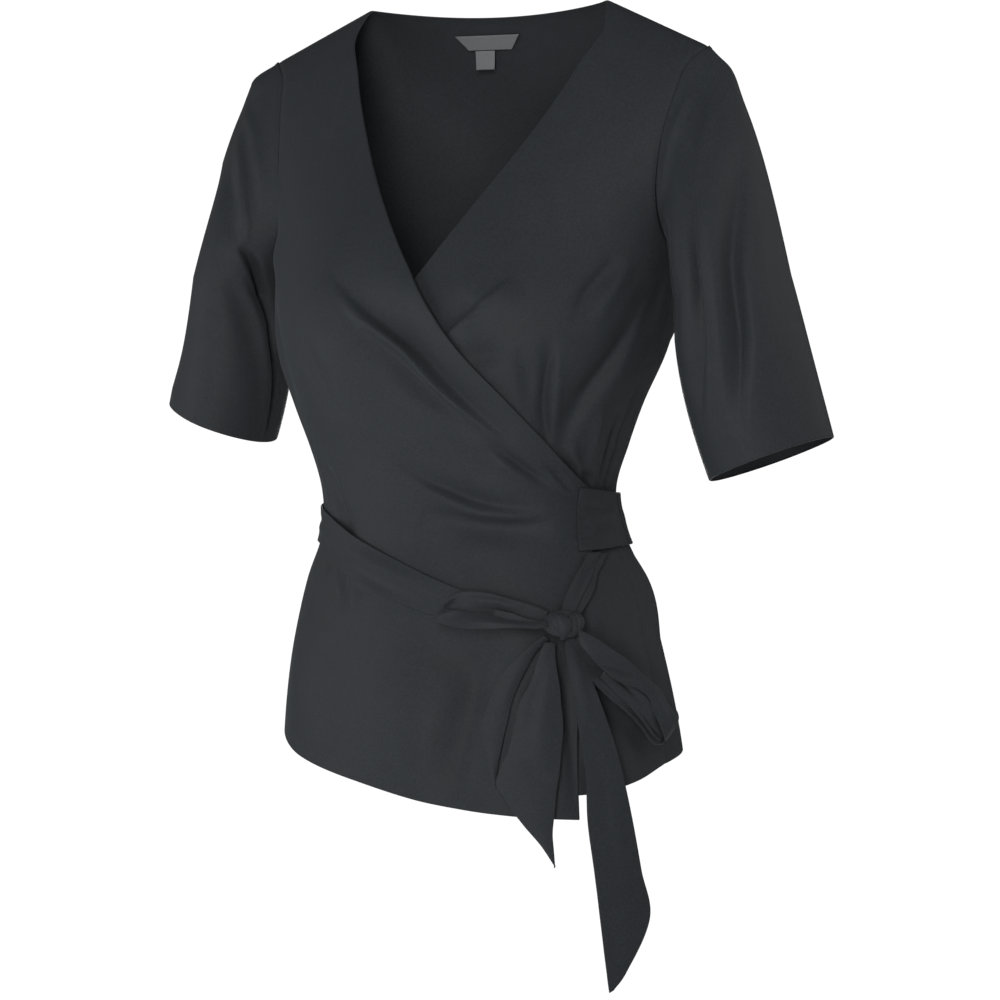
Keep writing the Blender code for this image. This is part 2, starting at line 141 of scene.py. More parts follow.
def place(angle, depth, out):  # the form point moved out along the cross product of the form's two directions
    angle, depth, out = np.broadcast_arrays(*(np.asarray(v, float) for v in (angle, depth, out)))
    feel = form["feel"]
    near = np.maximum(depth, feel["highest"])
    sideways = formPoint(angle + feel["angle"], near) - formPoint(angle - feel["angle"], near)
    down = formPoint(angle, near + feel["depth"]) - formPoint(angle, near - feel["depth"])
    normal = np.cross(down, sideways)
    normal /= np.linalg.norm(normal, axis=-1, keepdims=True)
    return formPoint(angle, depth) + normal * out[..., None]


# Creases

def smoothPath(points, steps=40):  # a cubic curve through the points, keyed by the length so far
    points = np.array(points, float)
    length = np.concatenate([[0], np.cumsum(np.linalg.norm(np.diff(points, axis=0), axis=1))])
    share = length / length[-1]
    return readRows(np.column_stack([share, points]), np.linspace(0, 1, steps))


def creaseHeight(creases, here, units):
    # each crease is a bell across a smooth path, with its own half width on each side, and half a sine
    # wave along it; past three half widths it is nothing
    height = np.zeros(here.shape[:-1])
    for points, leftHalf, rightHalf, tall in creases:
        path = smoothPath(np.array(points, float) * units)
        reach = 3 * max(leftHalf, rightHalf) / 1000
        near = np.all((here > path.min(0) - reach) & (here < path.max(0) + reach), axis=-1)
        spot = here[near]
        if not len(spot):
            continue
        start, way = path[:-1], np.diff(path, axis=0)
        share = np.clip(((spot[:, None] - start) * way).sum(-1) / (way**2).sum(-1), 0, 1)
        gap = spot[:, None] - (start + share[..., None] * way)
        closest = np.argmin((gap**2).sum(-1), axis=1)
        row = np.arange(len(spot))
        gap, along = gap[row, closest], (closest + share[row, closest]) / len(way)
        side = way[closest, 0] * gap[:, 1] - way[closest, 1] * gap[:, 0]  # above 0 on the right of the way
        half = np.where(side > 0, rightHalf, leftHalf) / 1000
        swell = np.sin(np.pi * np.clip(along, 0, 1))
        height[near] += tall / 1000 * swell * np.exp(-(gap**2).sum(-1) / half**2)
    return height


def onForm(angle, depth):  # metres round and down the form, where creases are measured
    return np.stack(np.broadcast_arrays(np.radians(angle) * form["arc"], depth), -1)


# Meshes

shellWall = {"panel": 0.0006, "tie": 0.0008, "label": 0.0005}


def quadCorners(grid):  # each cell's four neighbours, in order round it
    return grid[:-1, :-1], grid[1:, :-1], grid[1:, 1:], grid[:-1, 1:]


def gridFaces(points, tube, first):
    # corner numbers of a grid's quads from "first" on, and its map: sums of edge lengths along and down
    rows, columns = points.shape[:2]
    index = first + np.arange(rows * columns).reshape(rows, columns)
    spread = points
    if tube:
        index = np.concatenate([index, index[:, :1]], axis=1)
        spread = np.concatenate([points, points[:, :1]], axis=1)
    along = np.linalg.norm(np.diff(spread, axis=1), axis=2).cumsum(axis=1)
    along = np.concatenate([np.zeros((rows, 1)), along], axis=1)
    down = np.linalg.norm(np.diff(spread, axis=0), axis=2).cumsum(axis=0)
    down = np.concatenate([np.zeros((1, spread.shape[1])), down], axis=0)
    uv = np.stack([along, down], -1)
    faces = np.stack([corner.ravel() for corner in quadCorners(index)], 1)
    return faces, np.stack([corner.reshape(-1, 2) for corner in quadCorners(uv)], 1).reshape(-1, 2)


def clothMesh(name, grids, finish, wall, tube=False):
    # grids of points joined into quads, outer side down the rows x along a row, with a wall on the inner side
    faces, uv, first = [], [], 0
    for points in grids:
        quads, spots = gridFaces(points, tube, first)
        faces.append(quads)
        uv.append(spots)
        first += points.shape[0] * points.shape[1]
    mesh = bpy.data.meshes.new(name)
    corners = np.concatenate([points.reshape(-1, 3) for points in grids])
    mesh.from_pydata(corners.tolist(), [], np.concatenate(faces).tolist())
    layer = mesh.uv_layers.new(name="cloth")
    layer.data.foreach_set("uv", np.concatenate(uv).astype(np.float32).ravel())
    mesh.materials.append(finish)
    mesh.shade_smooth()
    piece = bpy.data.objects.new(name, mesh)
    bpy.context.scene.collection.objects.link(piece)
    solid = piece.modifiers.new("wall", "SOLIDIFY")
    solid.thickness = wall
    solid.offset = -1  # all of it on the inner side
    return piece


def stand(piece, node, slot, flat, held, **more):  # hangs the piece on the root body and hides the frame's own part for its node
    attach(piece, "root")
    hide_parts(node)


# Finishes

def addNode(tree, kind, values=None, **settings):  # a shader node with its settings and its sockets' values
    made = tree.nodes.new("ShaderNode" + kind)
    for setting, value in settings.items():
        setattr(made, setting, value)
    for name, value in (values or {}).items():
        made.inputs[name].default_value = value
    return made


def addSocket(group, name, way, default=None):  # a number that goes into a node group or comes out of it
    made = group.interface.new_socket(name=name, in_out=way, socket_type="NodeSocketFloat")
    if default is not None:
        made.default_value = default


def crepeGroup():
    # fine pebbled grain mixed with faint crosswise crinkles, and a cloudy mask for the shade of the dye
    group = bpy.data.node_groups.new("crepeGrain", "ShaderNodeTree")
    addSocket(group, "Pebble Scale", "INPUT", 900)
    addSocket(group, "Crinkle", "INPUT", 0.35)
    addSocket(group, "Height", "OUTPUT")
    addSocket(group, "Shade", "OUTPUT")
    given, out = group.nodes.new("NodeGroupInput"), group.nodes.new("NodeGroupOutput")
    position = addNode(group, "TexCoord")
    pebble = addNode(group, "TexNoise", {"Detail": 2})
    stretch = addNode(group, "Mapping", {"Scale": (260, 1100, 1)})
    crinkle = addNode(group, "TexNoise", {"Scale": 1, "Detail": 3})
    both = addNode(group, "Mix", data_type="FLOAT")
    cloud = addNode(group, "TexNoise", {"Scale": 60, "Detail": 4})
    join = group.links.new
    join(position.outputs["Object"], pebble.inputs["Vector"])
    join(given.outputs["Pebble Scale"], pebble.inputs["Scale"])
    join(position.outputs["UV"], stretch.inputs["Vector"])
    join(stretch.outputs["Vector"], crinkle.inputs["Vector"])
    join(given.outputs["Crinkle"], both.inputs["Factor"])
    join(pebble.outputs["Fac"], both.inputs["A"])
    join(crinkle.outputs["Fac"], both.inputs["B"])
    join(both.outputs["Result"], out.inputs["Height"])
    join(position.outputs["Object"], cloud.inputs["Vector"])
    join(cloud.outputs["Fac"], out.inputs["Shade"])
    return group


def clothFinish(name, grain, look):
    # principled cloth: its colour runs from dark to light by 0.85 of the grain and 0.15 of the cloudy
    # mask, and its roughness and bump follow the grain
    made = bpy.data.materials.new(name)
    made.use_nodes = True
    tree = made.node_tree
    shader = tree.nodes["Principled BSDF"]
    shader.inputs["Specular IOR Level"].default_value = look["specular"]
    shader.inputs["Sheen Weight"].default_value = look["sheen"]
    shader.inputs["Sheen Roughness"].default_value = look["sheenRoughness"]
    shader.inputs["Sheen Tint"].default_value = (*look["sheenTint"], 1)
    texture = addNode(tree, "Group", node_tree=grain)
    texture.inputs["Pebble Scale"].default_value = look["pebble"]
    texture.inputs["Crinkle"].default_value = look["crinkle"]
    colour = addNode(tree, "Mix", data_type="RGBA")
    colour.inputs["A"].default_value = (*look["dark"], 1)
    colour.inputs["B"].default_value = (*look["light"], 1)
    ofGrain = addNode(tree, "Math", {1: 0.85}, operation="MULTIPLY_ADD")
    ofCloud = addNode(tree, "Math", {1: 0.15}, operation="MULTIPLY")
    rough = addNode(tree, "MapRange", dict(zip(("To Min", "To Max"), look["roughness"])))
    bump = addNode(tree, "Bump", {"Strength": look["bump"], "Distance": look["deep"]})
    join = tree.links.new
    join(texture.outputs["Shade"], ofCloud.inputs[0])
    join(texture.outputs["Height"], ofGrain.inputs[0])
    join(ofCloud.outputs[0], ofGrain.inputs[2])
    join(ofGrain.outputs[0], colour.inputs["Factor"])
    join(colour.outputs["Result"], shader.inputs["Base Color"])
    join(texture.outputs["Height"], rough.inputs["Value"])
    join(rough.outputs["Result"], shader.inputs["Roughness"])
    join(texture.outputs["Height"], bump.inputs["Height"])
    join(bump.outputs["Normal"], shader.inputs["Normal"])
    return made


grain = crepeGroup()
crepe = clothFinish("charcoalCrepe", grain, {
    "dark": (0.0140, 0.0156, 0.0174), "light": (0.0455, 0.0507, 0.0564), "roughness": (0.50, 0.66),
    "specular": 0.11, "sheen": 0.04, "sheenRoughness": 0.45, "sheenTint": (0.85, 0.95, 1.0),
    "pebble": 640, "crinkle": 0.4, "bump": 0.6, "deep": 0.00025})
tape = clothFinish("wovenTape", grain, {
    "dark": (0.125, 0.130, 0.138), "light": (0.185, 0.190, 0.198), "roughness": (0.55, 0.75),
    "specular": 0.4, "sheen": 0.1, "sheenRoughness": 0.5, "sheenTint": (1, 1, 1),
    "pebble": 1600, "crinkle": 0.8, "bump": 0.5, "deep": 0.00015})
print("finishes made")


# Panels

panel = {
    "out": 0.001, "overlapOut": 0.0045, "overlapStart": -90, "overlapFull": -66,
    "rowsUp": 60, "rowsDown": 150, "neckDrop": 0.0075, "underReach": -58.0, "coverFade": 4.0,
    "standsOff": {"out": 0.0040, "depth": 0.215, "high": 0.030, "wide": 0.022},  # the wrap edge at the bust
    "armhole": (  # depth, distance from the centre
        (0.000, 0.178), (0.016, 0.169), (0.050, 0.162), (0.090, 0.157), (0.122, 0.155), (0.185, 0.154)),
    "wrap": (  # depth, how far each front's edge runs past the centre
        (0.000, -0.097), (0.014, -0.102), (0.050, -0.090), (0.100, -0.066), (0.150, -0.035), (0.200, 0.000),
        (0.245, 0.036), (0.285, 0.071), (0.323, 0.095), (0.349, 0.105), (0.400, 0.107), (0.460, 0.111),
        (0.600, 0.119)),
    "upperHem": (  # angle, depth
        (-90, 0.524), (-64, 0.533), (-42, 0.546), (-15, 0.560), (10, 0.574), (33, 0.581), (60, 0.585)),
    "lowerHem": (
        (-90, 0.516), (-51, 0.526), (0, 0.551), (30, 0.563), (51, 0.567), (76, 0.559), (90, 0.550),
        (105, 0.546), (120, 0.545), (145, 0.553), (180, 0.561), (225, 0.550), (270, 0.524)),
}

panelCuts = {  # "wave" is the seed of its slow waves, and "across" its usual width
    "rightFront": {"node": "front_right", "flat": (0.34, 0.60), "area": 0.145,
                   "columns": 132, "across": 0.25, "wave": 1.0},
    "leftFront": {"node": "front_left", "flat": (0.32, 0.58), "area": 0.135,
                  "columns": 126, "across": 0.25, "wave": 2.3},
    "backPanel": {"node": "back", "flat": (0.50, 0.58), "area": 0.225,
                  "columns": 140, "across": 0.5, "wave": 4.1},
}
seam = {  # how far off one the creases start, and the shallow groove in which it lies
    "fade": 0.010, "deep": 0.0005, "wide": 0.0022, "waistDeep": 0.0010, "waist": 0.325, "waistHigh": 0.035,
    "shoulderFade": 0.012, "shoulderDeep": 0.0005, "shoulderWide": 0.002,
}
slowWave = {
    "height": 0.00028, "start": 0.02, "full": 0.12,
    "sines": (  # waves round, radians a metre down, share of the panel's seed, size
        (7, 19, 1, 1), (4, -31, 2.1, 1), (11, 12, 3.7, 0.6), (2, 47, 1, 0.7)),
}

# A crease: its way in degrees round and millimetres down, then in millimetres the half width to the left
# and to the right of the way, and the height
upperCreases = (
    (((-27, 196), (-21, 208), (-13, 224), (-6, 237), (2, 252), (12, 273), (21, 290), (30, 305), (38, 317)),
     13, 3.2, -6.5),
    (((-22, 212), (-15, 230), (-8, 241), (2, 258), (11, 278), (21, 297), (30, 311), (38, 322)),
     3.4, 3.0, 5.4),
    (((-16, 236), (-8, 250), (0, 264), (8, 280), (17, 294), (25, 306), (31, 314)), 2.6, 8, -4.7),
    (((-10, 268), (4, 292), (18, 310), (30, 322)), 9, 12, 1.9),
    (((28, 317), (36, 327), (42, 335), (49, 342), (56, 349)), 4.5, 3.2, -5.0),
    (((30, 326), (38, 334), (46, 342), (54, 350)), 3, 6, 2.5),
    (((-9, 328), (0, 338), (7, 346), (16, 353), (22, 358), (30, 362), (42, 365), (54, 366)), 8, 3.6, -5.6),
    (((4, 350), (16, 360), (23, 365), (33, 368), (46, 369), (56, 368)), 3.5, 3.5, 2.8),
    (((2, 364), (10, 369), (23, 375), (35, 377), (46, 376), (56, 374)), 4.5, 12, -6.2),
    (((50, 330), (56, 337), (62, 346), (67, 353)), 2, 2.2, -2.5),
    (((-47, 330), (-42, 354), (-36, 374), (-29, 394)), 7, 9, -5.4),
    (((-54, 320), (-50, 350), (-44, 382)), 8, 6, 1.6),
    (((-72, 205), (-69, 240), (-66, 280), (-58, 330)), 7, 9, 1.6),
    (((-39, 232), (-35, 256), (-32, 276), (-31, 302)), 9, 7, -2.8),
    (((-64, 215), (-60, 250), (-56, 290)), 7, 8, -3.1),
    (((-29, 409), (-27, 424), (-26, 440)), 3, 4, -2.4),
    (((-33, 412), (-31, 424), (-30, 432)), 2.5, 3, 1.4),
    (((-22, 418), (-20, 430)), 3, 3, -1.1),
    (((-40, 402), (-39, 416)), 3, 3, -1.1),
    (((8, 436), (14, 458), (20, 482), (26, 506)), 18, 20, -6.5),
    (((-6, 470), (0, 500), (3, 530), (4, 575)), 22, 24, 4.0),
    (((30, 446), (25, 480), (21, 510), (17.5, 540), (16, 590)), 13, 16, -11.0),
    (((35, 480), (35, 520), (33, 560)), 9, 7, 3.0),
    (((51, 460), (51, 500), (51, 545), (50.5, 586)), 6, 4.5, -5.0),
    (((-50, 440), (-46, 490), (-44, 540)), 20, 22, 3.1),
    (((-20, 450), (-24, 500), (-26, 555)), 18, 20, -2.5),
    (((58, 353), (63, 356), (69, 357)), 1.5, 2, -1.7),
    (((59, 365), (64, 366), (69, 366)), 1.5, 1.5, -1.4),
    (((58, 372), (63, 373), (69, 373)), 1.5, 2.0, -1.6),
    (((60, 379), (65, 379), (69, 378)), 1.5, 1.5, -1.2),
    (((58, 387), (64, 386), (68, 385)), 1.5, 2.0, -1.6),
    (((60, 393), (65, 391)), 1.5, 1.5, -1.1),
)
underCreases = (
    (((11, 247), (17, 233), (20, 228), (22, 221), (26, 211), (30, 202)), 1.4, 15, 5.6),
    (((13, 238), (16, 226), (20, 215)), 9, 4, -3.6),
    (((18, 252), (26, 256), (31, 251)), 8, 8, -4.2),
    (((34, 250), (38, 262), (42, 284), (44, 300)), 5, 6, -3.3),
    (((44, 243), (46, 261), (47, 275), (49, 299), (51, 313), (52, 324)), 2.4, 6, -6.6),
    (((48, 258), (51, 282), (53, 302), (55, 322)), 5, 3, 2.6),
    (((79, 200), (76, 228), (72, 255), (67, 276), (62, 295), (58, 312), (56, 328)), 8, 14, -10.5),
    (((57, 322), (62, 331), (68, 340), (73, 348)), 3, 5, -3.9),
    (((61, 184), (57, 198), (53, 212), (52, 221), (52, 233)), 10, 5, -4.2),
    (((68, 186), (63, 205), (59, 224), (58, 240)), 6, 8, 2.6),
    (((86, 190), (83, 220), (80, 250), (78, 272)), 9, 7, -4.0),
    (((74, 290), (74, 308), (75, 328), (76, 344)), 6, 6, 3.0),
    (((85, 290), (85, 310), (86, 330), (86, 352)), 5, 5, -4.0),
    (((71, 338), (76, 343), (82, 348)), 4, 5, -4.8),
    (((62, 318), (66, 330), (71, 339)), 4, 4, 2.7),
    (((64, 426), (67, 440), (68, 456)), 3, 7, 2.7),
    (((78, 430), (80, 480), (82, 530)), 18, 18, 2.2),
    (((66, 462), (68, 500), (70, 540)), 14, 14, -3.9),
    (((51, 450), (51, 500), (51, 560)), 9, 8, -5.5),
)
backCreases = (
    (((112, 200), (122, 222), (136, 246), (150, 262)), 6, 10, -3.8),
    (((108, 214), (118, 240), (132, 264)), 7, 8, 3.2),
    (((246, 204), (236, 226), (224, 246), (208, 266)), 9, 6, -3.5),
    (((250, 222), (240, 244), (226, 266)), 8, 8, 3.0),
    (((128, 288), (131, 320), (133, 352)), 5, 8, -3.8),
    (((138, 300), (140, 328), (141, 356)), 6, 5, 3.2),
    (((152, 282), (151, 318), (150, 354)), 8, 6, -3.2),
    (((163, 300), (162, 330), (161, 356)), 6, 6, 2.5),
    (((178, 292), (180, 322), (181, 356)), 7, 6, -2.8),
    (((192, 306), (192, 332), (191, 356)), 6, 7, 3.0),
    (((206, 288), (205, 320), (203, 355)), 6, 8, -3.8),
    (((222, 300), (220, 328), (218, 354)), 7, 6, 2.8),
    (((236, 292), (233, 324), (230, 354)), 6, 6, -3.0),
    (((108, 404), (111, 430), (112, 462)), 14, 14, 3.0),
    (((124, 396), (127, 440), (128, 500)), 9, 12, -3.5),
    (((132, 398), (135, 450), (137, 530)), 12, 12, 3.8),
    (((149, 396), (150, 446), (152, 520)), 10, 12, -3.8),
    (((166, 398), (167, 440), (168, 500)), 10, 10, 2.8),
    (((184, 397), (184, 452), (183, 540)), 12, 12, -3.2),
    (((201, 397), (203, 440), (204, 505)), 10, 12, 3.5),
    (((218, 396), (221, 450), (223, 530)), 12, 10, -3.8),
    (((236, 396), (239, 440), (242, 500)), 10, 10, 3.0),
    (((252, 396), (255, 450), (256, 505)), 10, 12, -2.5),
    (((150, 40), (158, 90), (160, 140)), 16, 18, -1.8),
    (((212, 50), (204, 100), (200, 150)), 18, 16, -1.5),
)


def rowsAboveArmpit(dome, rows):  # the depths at equal turns round the dome
    turn = np.linspace(0, np.pi / 2, rows)
    return form["armpit"] * (1 - np.cos(turn) ** (2 / dome))


def panelRows(dome):  # a column of depths from the shoulder line down to the hem row, even below the armpit
    length = form["hemRow"] - form["armpit"]
    below = form["armpit"] + length * finerEnds(panel["rowsDown"], length, first=False)[1:]
    return np.concatenate([rowsAboveArmpit(dome, panel["rowsUp"]), below])[:, None]


def toHem(hem, angle, depth):  # depths below the waist in proportion, so that the last row follows the hem
    waist = form["waist"]
    share = np.clip((depth - waist) / (form["hemRow"] - waist), 0, None)
    return np.where(depth > waist, waist + share * (readOne(hem, angle) - waist), depth)


def sideEdge(depth):  # the angle of the armhole edge, and then of the side seam
    x = readOne(panel["armhole"], depth)
    return np.where(depth < form["armpit"], angleAt(x, np.minimum(depth, form["armpit"])), 90.0)


def seamed(height, fromSide, fromShoulder, depth):
    # creases fade out by S curves where pieces are sewn together, and the seam lies in a bell-shaped
    # groove, deepest at the waist
    groove = seam["deep"] + seam["waistDeep"] * bell((depth - seam["waist"]) / seam["waistHigh"])
    height = height * ramp(fromSide, 0, seam["fade"]) * ramp(fromShoulder, 0, seam["shoulderFade"])
    height = height - groove * bell(fromSide / seam["wide"])
    return height - seam["shoulderDeep"] * bell(fromShoulder / seam["shoulderWide"])


def slowWaves(angle, depth, seed):  # a faint unevenness of the hanging cloth: a sum of four long sine waves
    turn = np.radians(angle)
    waves = sum(size * np.sin(around * turn + down * depth + share * seed)
                for around, down, share, size in slowWave["sines"])
    return slowWave["height"] * waves * ramp(depth, slowWave["start"], slowWave["full"])


def arcMetres(angle):  # radians times the form's measuring radius
    return np.abs(angle) * math.radians(1) * form["arc"]


def acrossPanel(name):  # shares from one side of a panel to the other
    return finerEnds(panelCuts[name]["columns"], panelCuts[name]["across"])


def panelCreases(name, creases, angle, depth):  # the bells of its creases plus its slow waves
    waves = slowWaves(angle, depth, panelCuts[name]["wave"])
    return creaseHeight(creases, onForm(angle, depth), formUnits) + waves


def makePanel(name, angle, depth, out):  # the panel's shell on its solid's form
    cut = panelCuts[name]
    piece = clothMesh(name, [place(angle, depth, out)], crepe, shellWall["panel"])
    stand(piece, cut["node"], "crepe", cut["flat"], "draped", area=cut["area"])


def rightFront():
    # from the right side to the wrap edge: it lifts off the left front by S curves round and down, and
    # stands a little further off, by a bell, where that edge crosses the bust
    depth = panelRows(form["frontDome"])
    fromShoulder = depth
    side = sideEdge(depth)
    wrap = angleAt(readOne(panel["wrap"], depth), depth)
    angle = -side + (wrap + side) * acrossPanel("rightFront")
    depth = toHem(panel["upperHem"], angle, depth + 0 * angle)
    fromEdge, fromHem = arcMetres(wrap - angle), readOne(panel["upperHem"], angle) - depth
    lift = ramp(angle, panel["overlapStart"], panel["overlapFull"])
    lift = lift * ramp(depth, form["armpit"] / 2, form["armpit"])
    off = panel["standsOff"]
    off = off["out"] * bell((depth - off["depth"]) / off["high"]) * bell(fromEdge / off["wide"])
    height = panelCreases("rightFront", upperCreases, angle, depth)
    out = panel["out"] + (panel["overlapOut"] - panel["out"]) * lift + off
    out = out + seamed(height, arcMetres(angle + side), fromShoulder, depth)
    makePanel("rightFront", angle, depth, out + edgeRoll(fromEdge) + edgeRoll(fromHem))


def leftFront():
    # from its own edge to the left side: where the right front covers it, it takes only that one's troughs
    depth = panelRows(form["frontDome"])
    fromShoulder = depth
    side = sideEdge(depth)
    wrap = np.maximum(-angleAt(readOne(panel["wrap"], depth), depth), panel["underReach"])
    angle = wrap + (side - wrap) * acrossPanel("leftFront")
    depth = toHem(panel["lowerHem"], angle, depth + 0 * angle)
    fromEdge, fromHem = arcMetres(angle - wrap), readOne(panel["lowerHem"], angle) - depth
    height = panelCreases("leftFront", underCreases, angle, depth)
    above = creaseHeight(upperCreases, onForm(angle, depth), formUnits)
    covered = ramp(angleAt(readOne(panel["wrap"], depth), depth) - angle, 0, panel["coverFade"])
    height = height + (np.minimum(above, 0) - height) * covered
    out = panel["out"] + seamed(height, arcMetres(side - angle), fromShoulder, depth)
    makePanel("leftFront", angle, depth, out + edgeRoll(fromEdge) + edgeRoll(fromHem))


def backPanel():  # from side to side, its neck edge a parabola
    depth = panelRows(form["backDome"])
    fromShoulder = depth
    side = sideEdge(depth)
    angle = 180 + side * (2 * acrossPanel("backPanel") - 1)
    x = formPoint(angle, depth)[..., 0]
    neck = panel["neckDrop"] * np.clip(1 - (x / form["neck"]) ** 2, 0, None)
    depth = toHem(panel["lowerHem"], angle, depth + neck * np.clip(1 - depth / form["armpit"], 0, 1))
    fromHem = readOne(panel["lowerHem"], angle) - depth
    height = panelCreases("backPanel", backCreases, angle, depth)
    out = panel["out"] + seamed(height, arcMetres(side - np.abs(angle - 180)), fromShoulder, depth)
    makePanel("backPanel", angle, depth, out + edgeRoll(fromHem))


rightFront()
leftFront()
backPanel()
print("fronts and back made")


# Sleeves: the hem centre's place, the arm's lean from the vertical, the length of the straight part below
# the cap, and the cap's slope at the shoulder point; "keep" is how strongly the cap holds that slope and
# then the arm's; the top of the straight part is pinched in, deeper fore and aft and ahead, its hem flared

sleeves = {
    "rightSleeve": {
        "node": "sleeve_right", "flat": (0.34, 0.25), "area": 0.064,
        "side": -1, "across": 0.228, "down": 0.306, "lean": 16.2, "length": 0.105,
        "cap": 32, "keep": (1.0, 1.0), "pinch": 0.010, "deep": 0, "ahead": 0, "flare": 0, "dip": 0,
        "creases": (  # degrees round the arm (0 outer, 90 front, 180 inner) and depth, half widths, height
            (((112, 174), (124, 181), (137, 192), (149, 205), (158, 220), (165, 238), (171, 262)),
             4.5, 2.5, -14.0),
            (((124, 196), (138, 210), (149, 228), (156, 250), (164, 278), (168, 305), (168, 322)),
             2.5, 6, 3.5),
            (((158, 232), (164, 250), (171, 278), (175, 300), (175, 326)), 9, 1.6, -4.7),
            (((40, 86), (56, 100), (69, 109), (83, 123), (100, 144), (114, 162), (117, 176)), 4, 5, 3.0),
            (((50, 106), (63, 121), (83, 139), (97, 158), (114, 177)), 4, 8, -3.2),
            (((10, 60), (40, 76), (66, 90), (86, 109), (103, 125), (124, 150)), 4, 4, 1.8),
            (((60, 98), (84, 117), (104, 140), (122, 164)), 3.5, 3.5, -1.6),
            (((92, 170), (108, 190), (123, 210), (137, 244), (148, 280)), 10, 10, -1.6),
            (((24, 110), (27, 170), (28, 215), (28, 280)), 18, 18, -5.5),
            (((-40, 42), (0, 46), (40, 56)), 14, 14, 4.5),
            (((20, 110), (10, 170), (4, 230)), 12, 12, -1.4),
            (((-40, 90), (-34, 150), (-30, 215)), 9, 11, 2.0),
            (((-70, 110), (-60, 170), (-56, 240)), 9, 9, -3.8),
            (((-110, 130), (-100, 185), (-96, 250)), 9, 8, 3.0))},
    "leftSleeve": {
        "node": "sleeve_left", "flat": (0.37, 0.27), "area": 0.074,
        "side": 1, "across": 0.228, "down": 0.330, "lean": 14.2, "length": 0.125,
        "cap": 44, "keep": (0.75, 1.5), "pinch": 0.006, "deep": 0.004, "ahead": 0.013,
        "flare": 0.10, "dip": 0.003,
        "creases": (
            (((22, 108), (28, 140), (38, 168), (46, 192), (51, 216), (56, 240), (64, 262), (74, 285),
              (84, 314)), 15, 3.6, -11.5),
            (((8, 126), (16, 160), (27, 195), (34, 228), (44, 256), (56, 284)), 7, 10, 1.8),
            (((78, 98), (78, 132), (84, 165), (89, 190), (94, 220), (99, 248), (108, 274), (120, 304)),
             12, 3.8, -10.0),
            (((54, 140), (66, 186), (74, 230), (84, 272), (94, 304)), 6, 6, 2.2),
            (((96, 170), (100, 195), (112, 226), (121, 254)), 6, 5, 2.4),
            (((52, 62), (66, 76), (78, 87), (91, 100), (106, 120), (122, 142)), 2.6, 3.2, 3.2),
            (((62, 60), (84, 82), (100, 102), (118, 128)), 2.2, 2.0, -2.2),
            (((40, 72), (56, 94), (68, 114), (82, 142)), 5, 6, 2.4),
            (((128, 156), (133, 184), (137, 213), (141, 246)), 6, 5, -5.7),
            (((30, 318), (36, 326)), 3, 3, -1.6),
            (((-60, 44), (-28, 52), (0, 60)), 14, 14, 3.5),
            (((-70, 100), (-62, 150), (-56, 210)), 8, 10, -3.0),
            (((-95, 110), (-84, 170), (-76, 240)), 9, 9, 3.5),
            (((-125, 130), (-115, 190), (-108, 250)), 9, 8, -3.5))},
}
sleeveShape = {
    "seam": 0.0002, "hemTilt": 6.0, "underarmSlope": 50, "arm": 0.047,
    "around": 180, "capRows": 84, "armRows": 84,
    "fadeIn": 0.08, "fadeOut": 0.93, "leftAtHem": 0.4,  # shares of the rows between which creases are full
    "wave": 0.0003, "waveStart": 0.02, "waveFull": 0.2, "groove": 0.0005, "grooveShare": 0.012,
    "rings": (  # share of the straight part left, half width sideways, half width fore and aft
        (0.0, 0.0415, 0.0470), (0.5, 0.0435, 0.0500), (1.0, 0.0450, 0.0540)),
}


def armholeRing(side):
    # down an armhole's front edge from the shoulder and up its back edge, at the left or mirrored to it
    rows = sleeveShape["around"] // 2 + 1
    frontDepth, backDepth = rowsAboveArmpit(form["frontDome"], rows), rowsAboveArmpit(form["backDome"], rows)
    front = place(side * sideEdge(frontDepth), frontDepth, panel["out"])
    rear = place(side * (180 - sideEdge(backDepth)), backDepth, panel["out"])
    front[0] = (front[0] + rear[0]) / 2
    front[-1] = (front[-1] + rear[-1]) / 2
    return np.concatenate([front, rear[-2:0:-1]]) * np.array([side, 1, 1])


def slopeDown(degrees):  # outwards and down at so many degrees, one metre long
    turn = math.radians(degrees)
    return np.array([math.cos(turn), 0, -math.sin(turn)])


def sleeveRing(size, turn, left):
    # an ellipse square to the arm, at a share of the straight part left below it, flared by a cube curve
    # towards the hem and tilted there
    outward, forward, axis = slopeDown(-size["lean"]), np.array([0, -1.0, 0]), slopeDown(90 - size["lean"])
    across, fore = readRows(sleeveShape["rings"], left)
    bulge = math.sin(left * np.pi / 2)
    wider = 1 + size["flare"] * (1 - left**3)
    across, fore = across * wider, fore * wider + size["deep"] * bulge
    pinch = size["pinch"] * left**2
    slant = math.tan(math.radians(sleeveShape["hemTilt"])) * across * np.cos(turn) * (1 - left)
    slant = slant - size["dip"] * np.sin(turn) * (1 - left)
    centre = np.array([size["across"], 0, -size["down"]]) - axis * size["length"] * left
    centre = centre + outward * pinch + forward * size["ahead"] * bulge
    return centre + (across - pinch) * np.cos(turn) * outward + fore * np.sin(turn) * forward - slant * axis


def outwardNormals(points):  # cross product of the grid's two directions on a tube
    down = np.gradient(points, axis=0)
    wrapped = np.concatenate([points[:, -1:], points, points[:, :1]], axis=1)
    around = (wrapped[:, 2:] - wrapped[:, :-2]) / 2
    normal = np.cross(around, down)
    return normal / np.linalg.norm(normal, axis=-1, keepdims=True)


